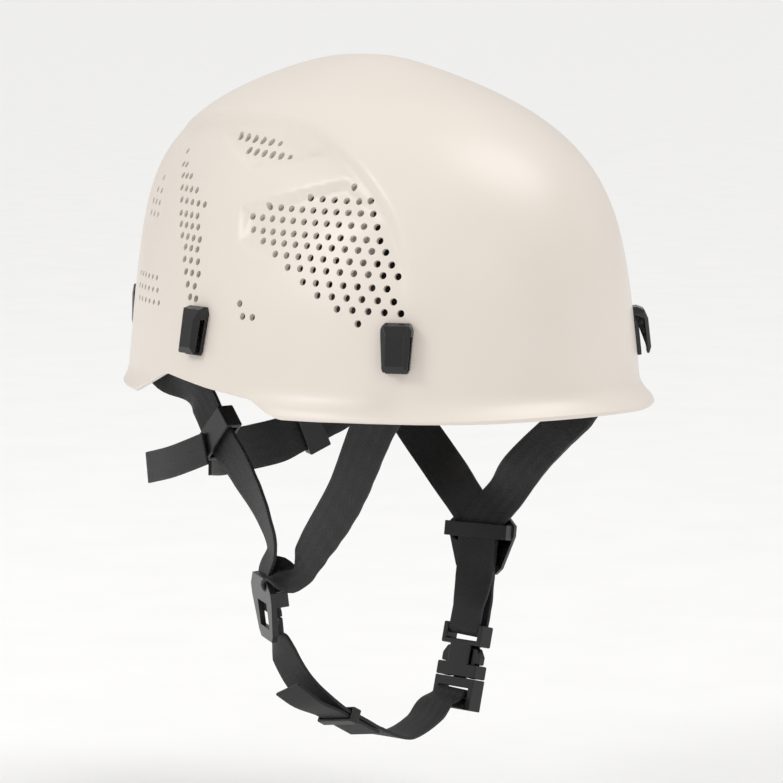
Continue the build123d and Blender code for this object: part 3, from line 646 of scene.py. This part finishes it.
def yoke_leaving(name, point):
    start = inside_point(name, CLIP_PLACES[name][1] - 9.5, WEB_THICK + 3 * LAYER_GAP)
    across = wall_seat(name).z.cross(Vector(point) - start).normalized()
    return [(start, across if across.y < 0 else -across)]


def placed(seat, rows):
    return [(seat.at(*spot), seat.x * a + seat.y * b) for spot, (a, b) in rows]


def seat_facing(spot, across, up):
    side = Vector(across).normalized()
    rise = Vector(up) - side * Vector(up).dot(side)
    return Seat(spot, side, side.cross(rise))


ALONG_Y, LAYER, BAR = (0, -1, 0), (WEB_THICK + LAYER_GAP) / 2, 5.5
TURN_RIGHT = (-sin(radians(21)), -cos(radians(21)), 0)
TURN_LEFT = (sin(radians(21)), -cos(radians(21)), 0)
right_divider = seat_facing((-64, -10, -102), TURN_RIGHT, (-0.1, 0.08, 1))
left_divider = seat_facing((62, -3, -85), TURN_LEFT, (0.19, -0.03, 1))
buckle_seat = seat_facing((55, -5, -124), (0.07, -1, 0), (0.25, 0.05, 0.967))


def through_divider(lean, layer):
    return placed(right_divider, [((lean, BAR + 9, layer), (1, 0)), ((0, BAR, layer), (1, 0)),
                                  ((0, BAR - 4.5, layer), (1, 0)), ((0, BAR - 9, layer), (1, 0))])


def crossing_divider(side, layer):
    return placed(left_divider, [((12.6 * side, BAR + 17, 2 * layer), (0.75, -0.66 * side)),
                                 ((4.8 * side, BAR + 8.5, layer), (0.93, -0.36 * side)),
                                 ((0, BAR, layer), (1, 0)), ((0, BAR - 9, layer), (1, 0)),
                                 ((0, -17, layer), (1, 0))])


def into_socket(layer):
    return placed(buckle_seat, [((0, y, 2.55 * layer), (1, 0)) for y in (8, 0, -3)])


front_right_line = yoke_start("front_right", (0.63, -0.78, 0)) + [
    ((-66, -92, -8), (0.5, -0.86, 0)), ((-67, -70, -44), (0.2, -0.98, 0)), ((-66, -48, -67), ALONG_Y),
    ((-65, -29, -84), (-0.2, -0.98, 0))] + through_divider(3, -LAYER)
rear_right_line = yoke_leaving("rear_right", (-64, 76, 0)) + [
    ((-64, 76, 0), ALONG_Y), ((-62, 51, -11), ALONG_Y), ((-62, 36, -27), ALONG_Y),
    ((-62, 17, -43), (-0.1, -0.99, 0)), ((-63, -1, -60), (-0.3, -0.95, 0)),
    ((-64, -10, -76), (-0.45, -0.89, 0))] + through_divider(-3, LAYER)
front_left_line = yoke_start("front_left", (-0.63, -0.78, 0)) + [
    ((63, -84, -13), (-0.3, -0.95, 0)), ((63, -57, -29), ALONG_Y),
    ((63, -34, -47), (0.2, -0.98, 0))] + crossing_divider(1, LAYER) + into_socket(1)
rear_left_line = yoke_leaving("rear_left", (66, 82, -10)) + [
    ((66, 82, -10), (0.6, -0.8, 0)), ((70, 60, -33), TURN_LEFT),
    ((69, 38, -49), TURN_LEFT)] + crossing_divider(-1, -LAYER) + into_socket(-1)
keeper_spot, keeper_way = Vector((-34, -28.3, -155.3)), Vector((0.868, 0.004, -0.498))
keeper_across = Vector((0.1, -0.98, 0.17))
keeper_run = [(keeper_spot + keeper_way * far, keeper_across) for far in (-12, -4, 4, 12)]
PLUG_BAR_HALF = 2.3
plug_out = PLUG_BAR_HALF + LAYER_GAP + WEB_THICK / 2
plug_rows = [((0, y, plug_out + lift), (1, 0)) for y, lift in ((-38.85, 8), (-35.35, 2.2), (-32.85, 0.7))]
chin_line = placed(right_divider, [((0, -4.2, -LAYER), (1, 0)), ((0, -14, -LAYER), (1, 0))]) + [
    ((-61, -15.3, -124.3), (0, -0.98, 0.15)), ((-54, -20.5, -139), (0.1, -0.97, 0.2))] + keeper_run + [
    ((-3, -23.5, -167.5), ALONG_Y), ((20, -15, -164), ALONG_Y)] + placed(buckle_seat, plug_rows)
tail_out = keeper_way.cross(keeper_across).normalized()
tail_line = [((-66, -24, -138), (-0.05, -0.9, 0.4)), ((-57, -27.5, -145.5), (0.05, -0.95, 0.25))] + [
    (keeper_spot + keeper_way * far + tail_out * 2.1, keeper_across) for far in (-12, -4, 4, 12)]
lock_spot, lock_way, lock_across = Vector((31, 92, -35.5)), Vector((-0.89, 0.2, -0.41)), (-0.4, 0, 0.92)
UPWARD = (0, 0, 1)
nape_line = [((52, 77, -13), lock_across)] + [
    (lock_spot + lock_way * far, lock_across) for far in (-16, -11, -6, 6, 11, 16)] + [
    ((-4, 92, -44), UPWARD), ((-30, 78, -43), UPWARD), ((-47, 62, -40), UPWARD), ((-56, 51.5, -38), UPWARD)]
nape_tail_line = [((-67.8, 38, -34), UPWARD), ((-67.6, 53, -39), UPWARD), ((-66, 70, -44), UPWARD),
                  ((-61, 97, -50), UPWARD)]
print("chin harness lines placed")

# %% Chin harness straps
for side, line, ripple in (("front_right", front_right_line, 0.35), ("rear_right", rear_right_line, 0.1),
                           ("front_left", front_left_line, 0.1), ("rear_left", rear_left_line, 0.1)):
    strap("yoke_webbing_" + side, line, WEB_WIDTH, WEB_THICK, webbing, "yoke_strap_" + side, ripple=ripple)
strap("chin_webbing_tail", tail_line, WEB_WIDTH, WEB_THICK, webbing, "chin_strap_tail")
strap("nape_webbing", nape_line, 22.0, WEB_THICK, nape_webbing, "nape_band")
strap("nape_webbing_tail", nape_tail_line, 15.0, WEB_THICK, tail_webbing, "nape_band_tail")
chin_webbing = strap("chin_webbing", chin_line, WEB_WIDTH, WEB_THICK, webbing, "chin_strap", body=None)
tuple(buckle_seat.at(0, -39, 5) * MM)
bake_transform(chin_webbing)

# %% [markdown]
# Webbing folds round each bar that holds it, so a short loop of it fills the socket's slot, and another
# weaves through the plug's ladder. Each rides with its own half of the buckle.

# %% Webbing round the buckle's bars
def loop_rows(rows):
    return placed(buckle_seat, [((0, y, z), (1, 0)) for y, z in rows])


def folded_webbing(name, rows, body):
    strap(name, loop_rows(rows), WEB_WIDTH, WEB_THICK, webbing, None, body=body)


socket_rows = [(0.5, 2.55), (-2.6, 2.5), (-4.1, 1.6), (-4.7, 0), (-4.1, -1.6), (-2.6, -2.5), (0.5, -2.55)]
ladder_rows = [(-40.35, 3.5), (-38.75, 2.9), (-37.1, 0), (-36.05, -3.0), (-34.45, -3.3),
               (-32.95, -2.8), (-31.95, 0), (-31.75, 2.6), (-32.95, 3.7)]
folded_webbing("socket_webbing_loop", socket_rows, "helmet")
folded_webbing("plug_webbing_loop", ladder_rows, "buckle_plug")

# %% [markdown]
# The buckle, dividers, loops and clips keep their engineered shape. Moulded parts always have a small
# radius on their edges, and that radius is what catches the light, so each gets a narrow bevel.


# %% Dress the hardware
def dress(name, mat, radius):
    piece = nodes[name]
    for slot in piece.material_slots:
        slot.material = mat
    joined = piece.modifiers.new("joined", "WELD")
    joined.merge_threshold = 0.00002
    flats = piece.modifiers.new("flats", "DECIMATE")
    flats.decimate_type, flats.angle_limit = "DISSOLVE", radians(1)
    edges = piece.modifiers.new("edges", "BEVEL")
    edges.width, edges.segments, edges.limit_method, edges.angle_limit = radius * MM, 3, "ANGLE", radians(28)
    edges.use_clamp_overlap, edges.harden_normals = True, True


screw_steel = moulded("screw_steel", (0.5, 0.5, 0.51), (0.56, 0.56, 0.57), 0.35, 2500, 0.1)
screw_steel.node_tree.nodes["Principled BSDF"].inputs["Metallic"].default_value = 1.0
for name in nodes:
    if name.startswith("lamp_clip"):
        dress(name, clip_plastic, 1.1)
    elif name.startswith("strap_divider"):
        dress(name, harness_plastic, 1.1)
    elif name.startswith(("buckle", "chin_keeper", "nape_lock", "rear_adjuster", "strap_anchor")):
        dress(name, harness_plastic, 0.8)
    elif name in ("headband", "headband_hangers"):
        dress(name, band_plastic, 0.4)
    elif name == "anchor_screws":
        dress(name, screw_steel, 0.2)
print("hardware dressed")

# %% [markdown]
# The pads are foam under brushed fabric. Each starts as its foam block's shape, is remeshed to even faces,
# and is swollen a little by a cloth simulation with air pressure, so its corners round off as foam's do.


# %% Pads
def pad_cloth():
    mat = moulded("pad_fabric", (0.03, 0.03, 0.032), (0.05, 0.05, 0.053), 0.85, 2200, 0.8, spread=0.04)
    shader = mat.node_tree.nodes["Principled BSDF"]
    shader.inputs["Sheen Weight"].default_value = 0.4
    return mat


pad_fabric = pad_cloth()
MOST_SWELL = 1.2 * MM


def soft_pad(name, node):
    bm = bmesh.new()
    bm.from_mesh(nodes[node].data)
    bmesh.ops.remove_doubles(bm, verts=bm.verts, dist=0.00002)
    piece = add_piece(name, bm, pad_fabric)
    even = piece.modifiers.new("even", "REMESH")
    even.mode, even.voxel_size, even.use_smooth_shade = "VOXEL", 0.0022, True
    soften = piece.modifiers.new("soften", "SMOOTH")
    soften.factor, soften.iterations = 0.5, 6
    finish_modifiers(piece)
    before = [v.co.copy() for v in piece.data.vertices]
    cloth = piece.modifiers.new("air", "CLOTH")
    cloth.settings.use_pressure, cloth.settings.uniform_pressure_force = True, 4
    cloth.settings.effector_weights.gravity = 0
    for moment in range(1, 13):
        bpy.context.scene.frame_set(moment)
    finish_modifiers(piece)
    for v, old in zip(piece.data.vertices, before):
        move = v.co - old
        if move.length > MOST_SWELL:
            v.co = old + move.normalized() * MOST_SWELL
    bpy.context.scene.frame_set(1)
    for face in piece.data.polygons:
        face.use_smooth = True
    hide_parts(node)
    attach(piece, "helmet")
    print(name, len(piece.data.vertices), "verts")


for node in ("brow_pad", "temple_pad_right", "temple_pad_left", "nape_pad", "crown_pad"):
    soft_pad("soft_" + node, node)
